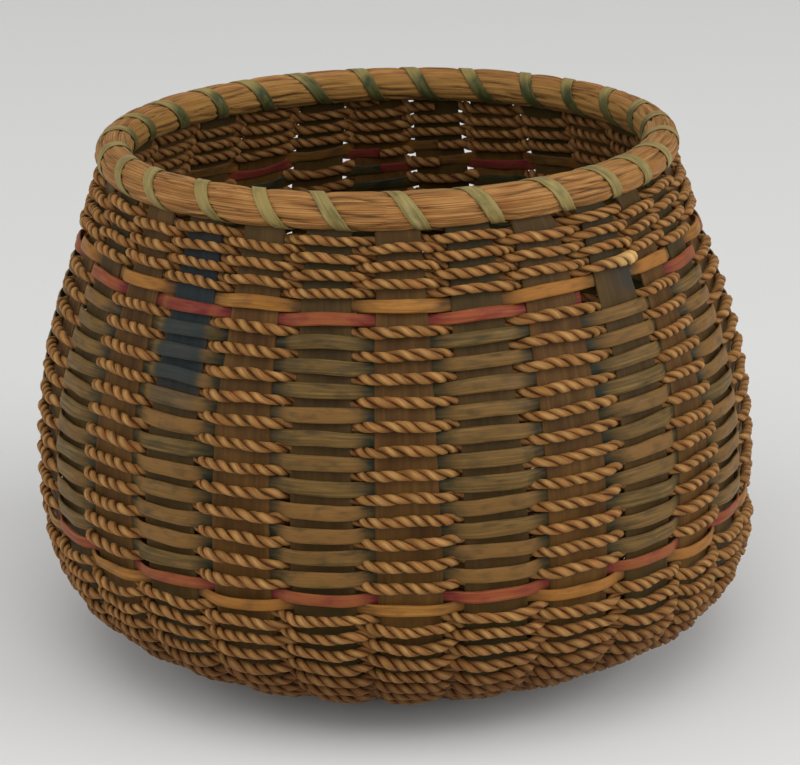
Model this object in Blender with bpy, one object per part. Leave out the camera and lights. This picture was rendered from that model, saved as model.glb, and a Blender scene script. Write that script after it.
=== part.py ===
"""Round ash splint basket, woven with twisted cord and dyed splint.

Metres, +Z up. The origin is the middle of the ring that the basket rests on. Fourteen ash splints
cross at the middle of the base, turn up at the heel and end in the rim, so they make twenty-eight
stakes. Two weaving strands go round them in level rows: strand 0 passes over the even stakes and
behind the odd ones, strand 1 the other way about. Each strand steps to its next row behind one
stake at the back. Angle 0 is the front, -Y, and angles grow towards +X.
"""

import math

import bmesh
import bpy

# Whole basket, measured to the middle of the stakes' thickness
RIM_RADIUS = 0.0732
RIM_HEIGHT = 0.1420
BELLY_RADIUS = 0.0950
BELLY_HEIGHT = 0.0560
BASE_RADIUS = 0.0480
HUB_RADIUS = 0.0285

# How far each stretch of the side keeps its first and last direction
BASE_SWEEP = 0.0250
HEEL_SWEEP = 0.0440
BELLY_SWEEP = 0.0380
RIM_SWEEP = 0.0340
RIM_LEAN = math.radians(17.0)
# How far the side has risen where it stops following its direction at the base's edge
HEEL_RISE = 0.0130

# Splints that make the stakes
SPLINT_COUNT = 14
STAKE_COUNT = 2 * SPLINT_COUNT
STAKE_THICKNESS = 0.0009
WAIST_THICKNESS = 0.00045
WAIST_WIDTH = 0.0036
BASE_STAKE_GAP = 0.0029
BELLY_STAKE_GAP = 0.0052
LAYER_CLEARANCE = 0.0002
WAIST_CLEARANCE = 0.0004
FRONT_STAKE_ANGLE = math.radians(2.0)

# Weavers. A row's height runs up the side, its depth through it.
CORD_HEIGHT = 0.0023
CORD_DEPTH = 0.0022
TIGHT_CORD_HEIGHT = 0.0019
TIGHT_CORD_DEPTH = 0.0020
WEAVER_HEIGHT = 0.0032
BAND_HEIGHT = 0.0030
WEAVER_DEPTH = 0.0006
BASE_WEAVER_DEPTH = 0.0008
FIT_CLEARANCE = 0.0003
ROW_CLEARANCE = 0.0002
EDGE_CLEARANCE = 0.0004
END_CLEARANCE = 0.0010
TOP_ROW_COUNT = 7
BAND_ROW_COUNT = 2
MIDDLE_ROW_COUNT = 23
LOWER_COURSE_COUNT = 9
BASE_ROW_COUNT = 4

# Rim
HOOP_THICKNESS = 0.0084
HOOP_SEAM = 0.0003
HOOP_SLOT_CLEARANCE = 0.0004
TIP_RISE = 0.0026
LASHING_WIDTH = 0.0042
LASHING_DEPTH = 0.00045
LASHING_CLEARANCE = 0.0003
LASHING_SIDE_CLEARANCE = 0.0008
LASHING_SIDES = 8
OUTER_SLANT_SHARE = 0.28

# Stakes named by their place among the twenty-eight, counted from the front towards +X
BACK_STAKE = 13
BROKEN_BAND_STAKE = 3

WALL_STEPS = 6
CURVE_STEPS = 120
HOOP_ARC_STEPS = 4
SHARP_EDGE = math.radians(35.0)


def bezier(first, second, third, last, steps):
    """Points along one curved stretch, without its last point."""
    points = []
    for step in range(steps):
        t = step / steps
        weights = ((1 - t) ** 3, 3 * t * (1 - t) ** 2, 3 * t * t * (1 - t), t ** 3)
        corners = (first, second, third, last)
        points.append(tuple(sum(w * c[axis] for w, c in zip(weights, corners)) for axis in (0, 1)))
    return points


BASE_LEVEL = STAKE_THICKNESS / 2 + FIT_CLEARANCE + BASE_WEAVER_DEPTH


def side_curve():
    """The stakes' middle line as (radius, height), from the rim down to the hub."""
    rim = (RIM_RADIUS, RIM_HEIGHT)
    belly = (BELLY_RADIUS, BELLY_HEIGHT)
    base = (BASE_RADIUS, BASE_LEVEL)
    below_rim = (
        RIM_RADIUS + RIM_SWEEP * math.sin(RIM_LEAN),
        RIM_HEIGHT - RIM_SWEEP * math.cos(RIM_LEAN),
    )
    over_belly = (BELLY_RADIUS, BELLY_HEIGHT + BELLY_SWEEP)
    under_belly = (BELLY_RADIUS, BELLY_HEIGHT - HEEL_SWEEP)
    beside_base = (BASE_RADIUS + BASE_SWEEP, BASE_LEVEL + HEEL_RISE)
    points = bezier(rim, below_rim, over_belly, belly, CURVE_STEPS)
    points += bezier(belly, under_belly, beside_base, base, CURVE_STEPS)
    return points + [base, (HUB_RADIUS, BASE_LEVEL)]


def lengths_along(points):
    """Distance of each point from the first one, along the line."""
    total = [0.0]
    for (r0, z0), (r1, z1) in zip(points, points[1:]):
        total.append(total[-1] + math.hypot(r1 - r0, z1 - z0))
    return total


def read_off(places, values, place):
    """Value at a place, on straight runs between the given places and past both ends."""
    index = 1
    while index < len(places) - 1 and places[index] < place:
        index += 1
    span = places[index] - places[index - 1]
    share = (place - places[index - 1]) / span
    return tuple(a + share * (b - a) for a, b in zip(values[index - 1], values[index]))


CURVE = side_curve()
CURVE_LENGTHS = lengths_along(CURVE)
SIDE_LENGTH = CURVE_LENGTHS[-1]
BASE_EDGE = CURVE_LENGTHS[-2]


def row_plan():
    """Each row's distance below the rim's middle, its half height, and its zone, top to bottom."""
    wrapped_rim = (HOOP_THICKNESS / 2 + LASHING_CLEARANCE) / math.cos(math.pi / LASHING_SIDES)
    first = wrapped_rim + LASHING_DEPTH + FIT_CLEARANCE + TIGHT_CORD_HEIGHT / 2
    zones = ["top"] * TOP_ROW_COUNT + ["upper_band"] * BAND_ROW_COUNT
    zones += ["middle"] * MIDDLE_ROW_COUNT + ["lower_band"] * BAND_ROW_COUNT
    rows = []
    for number, zone in enumerate(zones):
        half = TIGHT_CORD_HEIGHT / 2 if zone == "top" else BAND_HEIGHT / 2
        if zone == "middle":
            half = CORD_HEIGHT / 2 if strand_of(number) == 0 else WEAVER_HEIGHT / 2
        down = rows[-1][0] + rows[-1][1] + ROW_CLEARANCE + half if rows else first
        rows.append((down, half, zone))
    top = rows[-1][0] + rows[-1][1] + ROW_CLEARANCE / 2
    cords_end = lowest_cord_place()
    rows += fill_rows(top, cords_end, LOWER_COURSE_COUNT, "lower")
    return rows + fill_rows(cords_end, SIDE_LENGTH, BASE_ROW_COUNT, "base")


def strand_of(number):
    """Rows alternate between the two strands, starting with strand 1 under the rim."""
    return (number + 1) % 2


def fill_rows(top, bottom, count, zone):
    """Even rows that fill the side between two places."""
    pitch = (bottom - top) / count
    half = (pitch - ROW_CLEARANCE) / 2
    return [(top + (index + 1 / 2) * pitch, half, zone) for index in range(count)]


def lowest_cord_place():
    """Where the side still stands high enough above the floor for the thick cord courses."""
    reach = STAKE_THICKNESS / 2 + FIT_CLEARANCE + TIGHT_CORD_DEPTH
    for length, (_, height) in zip(CURVE_LENGTHS, CURVE):
        if height < reach and length > CURVE_LENGTHS[CURVE_STEPS]:
            return length
    return BASE_EDGE


ROWS = row_plan()


def stake_gap(radius, height):
    """Free width between neighbouring stakes."""
    rim_gap = LASHING_WIDTH + 2 * LASHING_SIDE_CLEARANCE
    if height > BELLY_HEIGHT:
        share = (height - BELLY_HEIGHT) / (RIM_HEIGHT - BELLY_HEIGHT)
        return BELLY_STAKE_GAP + share * (rim_gap - BELLY_STAKE_GAP)
    if radius > BASE_RADIUS:
        share = (radius - BASE_RADIUS) / (BELLY_RADIUS - BASE_RADIUS)
        return BASE_STAKE_GAP + share * (BELLY_STAKE_GAP - BASE_STAKE_GAP)
    return BASE_STAKE_GAP * radius / BASE_RADIUS


def stake_width(radius, height):
    free = 2 * radius * math.tan(math.pi / STAKE_COUNT) - stake_gap(radius, height)
    return max(WAIST_WIDTH, free)


def side_places():
    """Where the stakes bend: evenly down to the courses, then between one row and the next."""
    last_even = next(down - half for down, half, zone in ROWS if zone == "lower")
    last_even -= ROW_CLEARANCE / 2
    places = [last_even * step / WALL_STEPS for step in range(WALL_STEPS + 1)]
    wide = [row for row in ROWS if row[2] in ("lower", "base")]
    for (down, half, _), (next_down, next_half, _) in zip(wide, wide[1:]):
        places.append((down + half + next_down - next_half) / 2)
    return places + [SIDE_LENGTH]


PLACES = side_places()


def mitred_normals(points):
    """Outward normals that keep every face of an offset line at the same distance."""
    faces = []
    for (r0, z0), (r1, z1) in zip(points, points[1:]):
        length = math.hypot(r1 - r0, z1 - z0)
        faces.append((-(z1 - z0) / length, (r1 - r0) / length))
    normals = [faces[0]]
    for (ra, za), (rb, zb) in zip(faces, faces[1:]):
        whole = 1 + ra * rb + za * zb
        normals.append(((ra + rb) / whole, (za + zb) / whole))
    return normals + [faces[-1]]


def side_table():
    """At each bend: radius, height, outward normal and half the stake's width."""
    points = [read_off(CURVE_LENGTHS, CURVE, place) for place in PLACES]
    table = []
    for (radius, height), normal in zip(points, mitred_normals(points)):
        table.append((radius, height, *normal, stake_width(radius, height) / 2))
    return table


SIDE = side_table()


def side_at(down, off):
    """(radius, height) at a distance below the rim's middle, pushed outwards by off."""
    radius, height, normal_r, normal_z, _ = read_off(PLACES, SIDE, down)
    return radius + off * normal_r, height + off * normal_z


def stake_half_width(down):
    return read_off(PLACES, SIDE, down)[4]


def stake_angle(number):
    return FRONT_STAKE_ANGLE + 2 * math.pi * number / STAKE_COUNT


def placed(angle, radius, sideways, height):
    """A point from its radius, its distance along the tangent, and its height."""
    outward = (math.sin(angle), -math.cos(angle))
    along = (math.cos(angle), math.sin(angle))
    return (
        radius * outward[0] + sideways * along[0],
        radius * outward[1] + sideways * along[1],
        height,
    )


def solid_from_rings(name, rings, finish, closed=False):
    """Object whose surface joins each ring of corners to the next, with flat ends if it's open."""
    sides = len(rings[0])
    points = [corner for ring in rings for corner in ring]
    faces = []
    spans = len(rings) if closed else len(rings) - 1
    for span in range(spans):
        here = span * sides
        there = (span + 1) % len(rings) * sides
        for side in range(sides):
            after = (side + 1) % sides
            faces.append((here + side, here + after, there + after, there + side))
    if not closed:
        faces.append(tuple(reversed(range(sides))))
        faces.append(tuple(range(len(points) - sides, len(points))))
    mesh = bpy.data.meshes.new(name)
    mesh.from_pydata(points, [], faces)
    surface = bmesh.new()
    surface.from_mesh(mesh)
    bmesh.ops.recalc_face_normals(surface, faces=surface.faces)
    surface.to_mesh(mesh)
    surface.free()
    mesh.shade_smooth()
    mesh.set_sharp_from_angle(angle=SHARP_EDGE)
    mesh.materials.append(finish)
    made = bpy.data.objects.new(name, mesh)
    bpy.context.scene.collection.objects.link(made)
    return made


def material(name, colour, roughness):
    made = bpy.data.materials.new(name)
    made.use_nodes = True
    shader = made.node_tree.nodes["Principled BSDF"]
    shader.inputs["Base Color"].default_value = (*colour, 1.0)
    shader.inputs["Roughness"].default_value = roughness
    shader.inputs["Metallic"].default_value = 0.0
    made.diffuse_color = (*colour, 1.0)
    return made


def layer_level(layer):
    """Height of a splint's middle where all the splints lie on each other."""
    return BASE_LEVEL + layer * (WAIST_THICKNESS + LAYER_CLEARANCE)


def splint_line(layer):
    """Half of one splint from the middle of the base to its tip: radius, height, sizes."""
    apart = (WAIST_WIDTH + WAIST_CLEARANCE) / (2 * math.tan(math.pi / STAKE_COUNT))
    line = [(apart, layer_level(layer), WAIST_WIDTH / 2, WAIST_THICKNESS / 2)]
    for radius, height, _, _, half_width in reversed(SIDE):
        line.append((radius, height, half_width, STAKE_THICKNESS / 2))
    tip = side_at(-TIP_RISE, 0)
    line[-1] = (*tip, stake_half_width(0), STAKE_THICKNESS / 2)
    return line


def make_splint(number, finish):
    """One splint, from a tip in the rim, down one side, across the base and up the other."""
    half = splint_line(number)
    line = [(-radius, height, *sizes) for radius, height, *sizes in reversed(half)]
    line += half
    normals = mitred_normals([(across, height) for across, height, *_ in line])
    rings = []
    for (across, height, half_width, half_depth), (normal_r, normal_z) in zip(line, normals):
        ring = []
        for sideways, off in ((-1, -1), (1, -1), (1, 1), (-1, 1)):
            ring.append(
                placed(
                    stake_angle(number),
                    across - off * half_depth * normal_r,
                    sideways * half_width,
                    height - off * half_depth * normal_z,
                )
            )
        rings.append(ring)
    return solid_from_rings(f"ash_splint_{number + 1:02d}", rings, finish)


def wedge(half_height, depth):
    """Section of a splint weaver: its flat side outwards, (down, outwards)."""
    return ((-half_height, depth / 2), (0, -depth / 2), (half_height, depth / 2))


def slab(half_height, depth):
    """Section of a wide base splint: flat on both sides, (down, outwards)."""
    corners = ((-1, -1), (-1, 1), (1, 1), (1, -1))
    return tuple((down * half_height, out * depth / 2) for down, out in corners)


def ridge(half_height, depth):
    """Section of a cord: its round side outwards, (down, outwards)."""
    return ((-half_height, -depth / 2), (half_height, -depth / 2), (0, depth / 2))


def stake_ring(stake, down, edge_share, off, section):
    """A weaver's section at a share of the way from a stake's middle to just past its edge."""
    ring = []
    for corner_down, corner_off in section:
        radius, height = side_at(down + corner_down, off + corner_off)
        sideways = edge_share * edge_of(down + corner_down)
        ring.append(placed(stake_angle(stake), radius, sideways, height))
    return ring


def weave(name, strand, downs, section, depth, finish):
    """One strand in level rows. It passes over the stakes of its own parity and behind the rest,
    and steps from row to row behind its own stake at the back."""
    start = BACK_STAKE + strand
    reach = STAKE_THICKNESS / 2 + FIT_CLEARANCE + depth / 2
    rings = [stake_ring(start, downs[0], end_share(downs[0]), -reach, section)]
    rings.append(stake_ring(start, downs[0], 1, -reach, section))
    for row, down in enumerate(downs):
        for step in range(1, STAKE_COUNT):
            off = reach if step % 2 == 1 else -reach
            for side in (-1, 1):
                rings.append(stake_ring(start + step, down, side, off, section))
        rings.append(stake_ring(start, down, -1, -reach, section))
        if row + 1 < len(downs):
            rings.append(stake_ring(start, downs[row + 1], 1, -reach, section))
    rings.append(stake_ring(start, downs[-1], -end_share(downs[-1]), -reach, section))
    return solid_from_rings(name, rings, finish)


def edge_of(down):
    return stake_half_width(down) + EDGE_CLEARANCE


def end_share(down):
    return END_CLEARANCE / 2 / edge_of(down)


def make_broken_band(name, down, section, finish):
    """The upper red band, which has lost the piece over one stake. Its ends stay tucked behind
    the stakes on either side."""
    reach = STAKE_THICKNESS / 2 + FIT_CLEARANCE + WEAVER_DEPTH / 2
    first = BROKEN_BAND_STAKE + 1
    rings = []
    for step in range(STAKE_COUNT - 1):
        off = reach if step % 2 == 1 else -reach
        for side in (-1, 1):
            rings.append(stake_ring(first + step, down, side, off, section))
    return solid_from_rings(name, rings, finish)


def zone_rows(zone, strand):
    """Places of one strand's rows in one zone."""
    return [
        down
        for number, (down, _, row_zone) in enumerate(ROWS)
        if row_zone == zone and strand_of(number) == strand
    ]


def half_height_in(zone):
    return next(half for _, half, row_zone in ROWS if row_zone == zone)


def hoop_section(side):
    """Half of the round rim, as (down, outwards), stepped back to straddle the stakes' tips."""
    outer = HOOP_THICKNESS / 2
    slot = STAKE_THICKNESS / 2 + HOOP_SLOT_CLEARANCE
    seam = HOOP_SEAM / 2
    tip_room = -TIP_RISE - HOOP_SLOT_CLEARANCE
    low = math.asin(slot / outer)
    high = math.pi - math.asin(seam / outer)
    corners = [(tip_room, slot), (tip_room, seam)]
    for step in range(HOOP_ARC_STEPS + 1):
        angle = high + (low - high) * step / HOOP_ARC_STEPS
        corners.append((outer * math.cos(angle), outer * math.sin(angle)))
    corners = [(down, side * out) for down, out in corners]
    return corners if side > 0 else list(reversed(corners))


def make_hoop(name, side, finish):
    rings = []
    for stake in range(STAKE_COUNT):
        for edge in (-1, 1):
            rings.append(stake_ring(stake, 0, edge, 0, hoop_section(side)))
    return solid_from_rings(name, rings, finish, closed=True)


def make_lashing(name, finish):
    """One splint strip bound round the rim, once through each gap between two stakes."""
    turn_points = LASHING_SIDES
    inner = (HOOP_THICKNESS / 2 + LASHING_CLEARANCE) / math.cos(math.pi / turn_points)
    outer = inner + LASHING_DEPTH
    pitch = 2 * math.pi / STAKE_COUNT
    outside = turn_points // 2
    rings = []
    for turn in range(STAKE_COUNT):
        for point in range(turn_points):
            round_angle = 2 * math.pi * (point + 1 / 2) / turn_points
            if point < outside:
                shift_share = OUTER_SLANT_SHARE * point / (outside - 1)
            else:
                inside_share = (point - outside + 1) / (turn_points - outside)
                shift_share = OUTER_SLANT_SHARE + (1 - OUTER_SLANT_SHARE) * inside_share
            angle = stake_angle(BACK_STAKE + 1 / 2) - (turn + shift_share) * pitch
            ring = []
            for sideways, distance in ((-1, outer), (0, inner), (1, outer)):
                down = distance * math.cos(round_angle)
                off = distance * math.sin(round_angle)
                radius, height = side_at(down, off)
                ring.append(placed(angle, radius, sideways * LASHING_WIDTH / 2, height))
            rings.append(ring)
    return solid_from_rings(name, rings, finish)


def make_weavers(finishes):
    cord = ridge(CORD_HEIGHT / 2, CORD_DEPTH)
    tight_cord = ridge(TIGHT_CORD_HEIGHT / 2, TIGHT_CORD_DEPTH)
    course = ridge(half_height_in("lower"), TIGHT_CORD_DEPTH)
    weaver = wedge(WEAVER_HEIGHT / 2, WEAVER_DEPTH)
    band = wedge(BAND_HEIGHT / 2, WEAVER_DEPTH)
    base = slab(half_height_in("base"), BASE_WEAVER_DEPTH)
    strands = (
        ("upper_cord_over_even_stakes", 0, "top", tight_cord, TIGHT_CORD_DEPTH, "cord"),
        ("upper_cord_over_odd_stakes", 1, "top", tight_cord, TIGHT_CORD_DEPTH, "cord"),
        ("upper_natural_band", 0, "upper_band", band, WEAVER_DEPTH, "natural"),
        ("middle_cord", 0, "middle", cord, CORD_DEPTH, "cord"),
        ("middle_green_splint", 1, "middle", weaver, WEAVER_DEPTH, "green"),
        ("lower_natural_band", 0, "lower_band", band, WEAVER_DEPTH, "natural"),
        ("lower_red_band", 1, "lower_band", band, WEAVER_DEPTH, "red"),
        ("lower_cord_over_even_stakes", 0, "lower", course, TIGHT_CORD_DEPTH, "cord"),
        ("lower_cord_over_odd_stakes", 1, "lower", course, TIGHT_CORD_DEPTH, "cord"),
        ("base_splint_over_even_stakes", 0, "base", base, BASE_WEAVER_DEPTH, "natural"),
        ("base_splint_over_odd_stakes", 1, "base", base, BASE_WEAVER_DEPTH, "natural"),
    )
    for name, strand, zone, section, depth, finish in strands:
        weave(name, strand, zone_rows(zone, strand), section, depth, finishes[finish])
    red_down = zone_rows("upper_band", 1)[0]
    make_broken_band("upper_red_band", red_down, band, finishes["red"])


def main():
    for old in list(bpy.data.objects):
        bpy.data.objects.remove(old)
    finishes = {
        "ash": material("aged_ash", (0.24, 0.15, 0.07), 0.62),
        "cord": material("twisted_cord", (0.52, 0.32, 0.14), 0.7),
        "green": material("faded_green_splint", (0.21, 0.17, 0.07), 0.55),
        "natural": material("natural_splint", (0.46, 0.27, 0.11), 0.55),
        "red": material("faded_red_splint", (0.50, 0.15, 0.10), 0.55),
        "rim": material("rim_grass", (0.55, 0.37, 0.18), 0.7),
        "lashing": material("lashing_splint", (0.36, 0.30, 0.15), 0.55),
    }
    for number in range(SPLINT_COUNT):
        make_splint(number, finishes["ash"])
    make_weavers(finishes)
    make_hoop("rim_outer_hoop", 1, finishes["rim"])
    make_hoop("rim_inner_hoop", -1, finishes["rim"])
    make_lashing("rim_lashing", finishes["lashing"])


main()
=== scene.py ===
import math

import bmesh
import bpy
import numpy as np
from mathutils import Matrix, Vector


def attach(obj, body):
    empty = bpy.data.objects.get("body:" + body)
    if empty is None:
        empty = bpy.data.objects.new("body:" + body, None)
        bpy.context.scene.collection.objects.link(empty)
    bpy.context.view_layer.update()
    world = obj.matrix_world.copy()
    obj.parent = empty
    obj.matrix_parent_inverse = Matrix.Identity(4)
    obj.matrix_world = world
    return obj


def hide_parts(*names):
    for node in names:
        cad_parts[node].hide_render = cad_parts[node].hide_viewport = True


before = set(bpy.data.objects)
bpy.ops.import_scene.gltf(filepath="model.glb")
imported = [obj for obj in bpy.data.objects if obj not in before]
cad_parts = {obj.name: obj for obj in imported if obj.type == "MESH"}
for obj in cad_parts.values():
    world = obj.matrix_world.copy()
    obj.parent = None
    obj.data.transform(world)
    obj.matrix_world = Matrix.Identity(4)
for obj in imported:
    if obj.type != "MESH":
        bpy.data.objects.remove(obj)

# %% [markdown]
# # Weaving an ash splint basket
# This small sewing basket has twenty-eight upright stakes of split ash. Rows of twisted
# grass cord and of thin dyed splint are woven between them, and a bundle of split
# fibres is lashed round the mouth. The plain model is loaded above. Here each of its
# parts gets its real form and finish. First come the tools and the size that must be kept.

MM = 0.001
TURN = 2 * math.pi
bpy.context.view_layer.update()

# %% [markdown]
# ## The camera
# The picture was taken with a long lens from three quarters of a metre away.
# The lens, the distance and the tilt come from fitting the outline, the mouth's ellipse
# and the coloured bands at once. The object leans a little in the picture, so the camera
# is rolled by half a degree. The camera turns to frame the object, so its shift
# stays at zero and other views stay centred.

# %% Camera
PHOTO_WIDTH, PHOTO_HEIGHT = 800, 765
FOCAL_PIXELS = 2754.0
CAMERA_DISTANCE = 0.76
CAMERA_ELEVATION = math.radians(18.05)
CAMERA_ROLL = math.radians(-0.5)
LOOK_AT = Vector((0.0, 0.0, 0.0763))
LANDS_AT = (397.2, 369.6)      # the pixel where LOOK_AT is seen

back = Vector((0.0, -math.cos(CAMERA_ELEVATION), math.sin(CAMERA_ELEVATION)))
right = Vector((1.0, 0.0, 0.0))
facing = Matrix((right, back.cross(right), back)).transposed()
tilt = (LANDS_AT[1] - PHOTO_HEIGHT / 2) / FOCAL_PIXELS
swing = (LANDS_AT[0] - PHOTO_WIDTH / 2) / FOCAL_PIXELS
facing = facing @ Matrix.Rotation(CAMERA_ROLL, 3, "Z")
facing = facing @ Matrix.Rotation(tilt, 3, "X") @ Matrix.Rotation(swing, 3, "Y")
camera_data = bpy.data.cameras.new("camera")
camera_data.sensor_width = 36.0
camera_data.lens = FOCAL_PIXELS / PHOTO_WIDTH * camera_data.sensor_width
camera_data.clip_start = 0.01
camera = bpy.data.objects.new("camera", camera_data)
bpy.context.scene.collection.objects.link(camera)
camera.matrix_world = Matrix.Translation(LOOK_AT + back * CAMERA_DISTANCE) @ facing.to_4x4()
bpy.context.scene.camera = camera
print("Lens, mm:", round(camera_data.lens, 1))

# %% [markdown]
# ## The basket's side
# A weaver works over a form, and everything in the basket follows that form. So it is
# made once here, as a line from the middle of the rim, out over the belly, in under the
# heel and along the base. Two smooth curves with four points each give it, with the same
# sizes as the plain model. A place on the basket is then an angle, a distance down this
# line and a distance off it, as a weaver would say it.

# %% The side curve
RIM_RADIUS, RIM_HEIGHT = 73.2 * MM, 142.0 * MM
BELLY_RADIUS, BELLY_HEIGHT = 95.0 * MM, 56.0 * MM
BASE_RADIUS, HUB_RADIUS = 48.0 * MM, 28.5 * MM
BASE_SWEEP, HEEL_SWEEP, BELLY_SWEEP, RIM_SWEEP = 25.0 * MM, 44.0 * MM, 38.0 * MM, 34.0 * MM
HEEL_RISE = 13.0 * MM
RIM_LEAN = math.radians(17.0)
STAKE_THICKNESS = 0.9 * MM
BASE_WEAVER_THICKNESS = 0.8 * MM
BASE_LEVEL = STAKE_THICKNESS / 2 + 0.3 * MM + BASE_WEAVER_THICKNESS


def curved(first, second, third, last, steps=160):
    """Leaves `first` towards `second` and comes to `last` from `third`."""
    share = np.linspace(0.0, 1.0, steps)[:, None]
    rest = 1.0 - share
    first, second, third, last = (np.array(point) for point in (first, second, third, last))
    ends = rest**3 * first + share**3 * last
    return ends + 3 * rest**2 * share * second + 3 * rest * share**2 * third


upper = curved(
    (RIM_RADIUS, RIM_HEIGHT),
    (RIM_RADIUS + RIM_SWEEP * math.sin(RIM_LEAN), RIM_HEIGHT - RIM_SWEEP * math.cos(RIM_LEAN)),
    (BELLY_RADIUS, BELLY_HEIGHT + BELLY_SWEEP),
    (BELLY_RADIUS, BELLY_HEIGHT),
)
lower = curved(
    (BELLY_RADIUS, BELLY_HEIGHT),
    (BELLY_RADIUS, BELLY_HEIGHT - HEEL_SWEEP),
    (BASE_RADIUS + BASE_SWEEP, BASE_LEVEL + HEEL_RISE),
    (BASE_RADIUS, BASE_LEVEL),
)
side = np.vstack([upper, lower[1:], [(HUB_RADIUS, BASE_LEVEL)]])
steps_down = np.hypot(*np.diff(side, axis=0).T)
side_down = np.concatenate([[0.0], np.cumsum(steps_down)])
slope = np.gradient(side, side_down, axis=0)
slope /= np.hypot(*slope.T)[:, None]
SIDE_LENGTH = side_down[-1]
print("The side is", round(SIDE_LENGTH / MM, 1), "mm long from the rim to the hub")

# %% [markdown]
# The stakes are flat across, so the wall between them is a many-sided barrel and not a
# round one. `place` turns an angle, a distance down and a distance off into a point, and
# `outward` gives the direction off the wall there.

# %% Places on the side
STAKE_COUNT = 28
STAKE_PITCH = TURN / STAKE_COUNT
FRONT_STAKE_ANGLE = math.radians(2.0)
FLAT_SHARE = 0.0063      # how far a flat stake's edges stand out, as a share of the radius


def stake_angle(number):
    return FRONT_STAKE_ANGLE + number * STAKE_PITCH


def side_at(down):
    """Radius, height, and the outward and upward part of the way off the wall."""
    radius = np.interp(down, side_down, side[:, 0])
    height = np.interp(down, side_down, side[:, 1])
    above = np.minimum(down, 0.0)
    radius = radius + above * slope[0, 0]
    height = height + above * slope[0, 1]
    off_out = np.interp(down, side_down, -slope[:, 1])
    off_up = np.interp(down, side_down, slope[:, 0])
    return radius, height, off_out, off_up


def point_at(radius, angle, height):
    return np.stack([radius * np.sin(angle), -radius * np.cos(angle), height + 0 * angle], -1)


def outward(angle, down):
    _, _, off_out, off_up = side_at(down)
    return point_at(off_out, angle, off_up)


def place(angle, down, off):
    radius, height, off_out, off_up = side_at(down)
    between = np.sin(math.pi * (angle - FRONT_STAKE_ANGLE) / STAKE_PITCH) ** 2
    radius = radius * (1 + FLAT_SHARE * between) + off * off_out
    return point_at(radius, angle, height + off * off_up)


print("Degrees from stake to stake:", round(math.degrees(STAKE_PITCH), 2))

# %% [markdown]
# ## Uneven by hand
# Nothing in a handmade basket is quite regular. `wander` adds a few waves of different
# lengths, so that a place drifts smoothly between about -1 and 1. Its seed makes it the
# same on each run. `drift` does this for a whole patch of the wall, so neighbouring rows
# move up and down together and never cross.

# %% Smooth unevenness
WAVE_SHARES = (1.0, 0.61, 0.37)
WALL_WAVES = ((3, 61, 0.4), (7, 37, 2.1), (11, 83, 4.0), (19, 29, 1.2))      # round, down in mm, start
WALL_WAVES_REACH = 2.6


def wander(along, seed, wavelength):
    phases = np.random.default_rng(seed).uniform(0, TURN, 3)
    value = 0.0
    for phase, share in zip(phases, WAVE_SHARES):
        value = value + share * np.sin(along * TURN / (wavelength * share) + phase)
    return value / sum(WAVE_SHARES)


def drift(angle, down):
    value = 0.0
    for waves, length, phase in WALL_WAVES:
        value = value + np.sin(waves * angle + down * TURN / (length * MM) + phase)
    return value / WALL_WAVES_REACH


wandered = [float(wander(step * MM, 1, 40 * MM)) for step in (0, 8, 16, 24)]
print("A wander, every 8 mm:", np.round(wandered, 2).tolist())

# %% [markdown]
# ## A basket that leans
# The real basket has settled by about a millimetre, leans a little to the left above its
# heel and is fuller low down at the right. One stake right of the front, the one with the
# broken band, has been pushed aside, and the rest of the right side a little with it.
# Every piece is bent by the same small amount, so that all of them still fit.

# %% The lean
LEAN = math.radians(0.9)
FULLER = 2.6 * MM
SETTLED = 0.991
PUSHED_STAKE, PUSHED_REACH = 41.0, 9.0      # degrees round from the front, and to each side
PUSHED_LOW, PUSHED_HIGH, PUSHED_RIGHT = 1.3, 3.0, 0.7      # degrees: below, above, right side


def rising(value, start, end):
    """Goes smoothly from 0 at start to 1 at end."""
    share = np.clip((value - start) / (end - start), 0, 1)
    return share * share * (3 - 2 * share)


def pushed_aside(x, y, z):
    angle = np.degrees(np.arctan2(x, -y))
    pushed = PUSHED_LOW + (PUSHED_HIGH - PUSHED_LOW) * rising(z / MM, 60, 105)
    pushed = pushed * np.exp(-(((angle - PUSHED_STAKE) / PUSHED_REACH) ** 2))
    pushed = pushed + PUSHED_RIGHT * rising(angle, 0, 30) * rising(angle, 150, 90)
    turn = np.radians(pushed * rising(z / MM, 139, 133) * rising(z / MM, 5, 30))
    return x * np.cos(turn) - y * np.sin(turn), y * np.cos(turn) + x * np.sin(turn)


def leaning(points):
    x, y, z = points.T * np.array([[1.0], [1.0], [SETTLED]])
    x, y = pushed_aside(x, y, z)
    lean = LEAN * rising(z / MM, 0, 60)
    low_right = rising(x / MM, 15, 80) * rising(z / MM, 2, 14) * rising(z / MM, 48, 26)
    return np.stack([x - lean * z + FULLER * low_right, y, z + lean * x], -1)


mouth = np.array([[0.0, 0.0, RIM_HEIGHT]])
print("The middle of the mouth moves by, mm:", np.round((leaning(mouth) - mouth)[0] / MM, 1))

# %% [markdown]
# ## Strips and tubes as meshes
# Stakes, splints, plies and fibres are all the same kind of thing: a section that is
# carried along a line. Blender can sweep a curve with a bevel, but here the section has to
# stay flat on the barrel's wall, thin where it dives and carry measured places for its
# finish. So rings of points are worked out, `swept` joins them and `new_piece` makes the
# mesh. Each face gets a UV place in millimetres, along and around, and each point gets
# the named values that the finishes read.

# %% From points and faces to a piece


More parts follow.
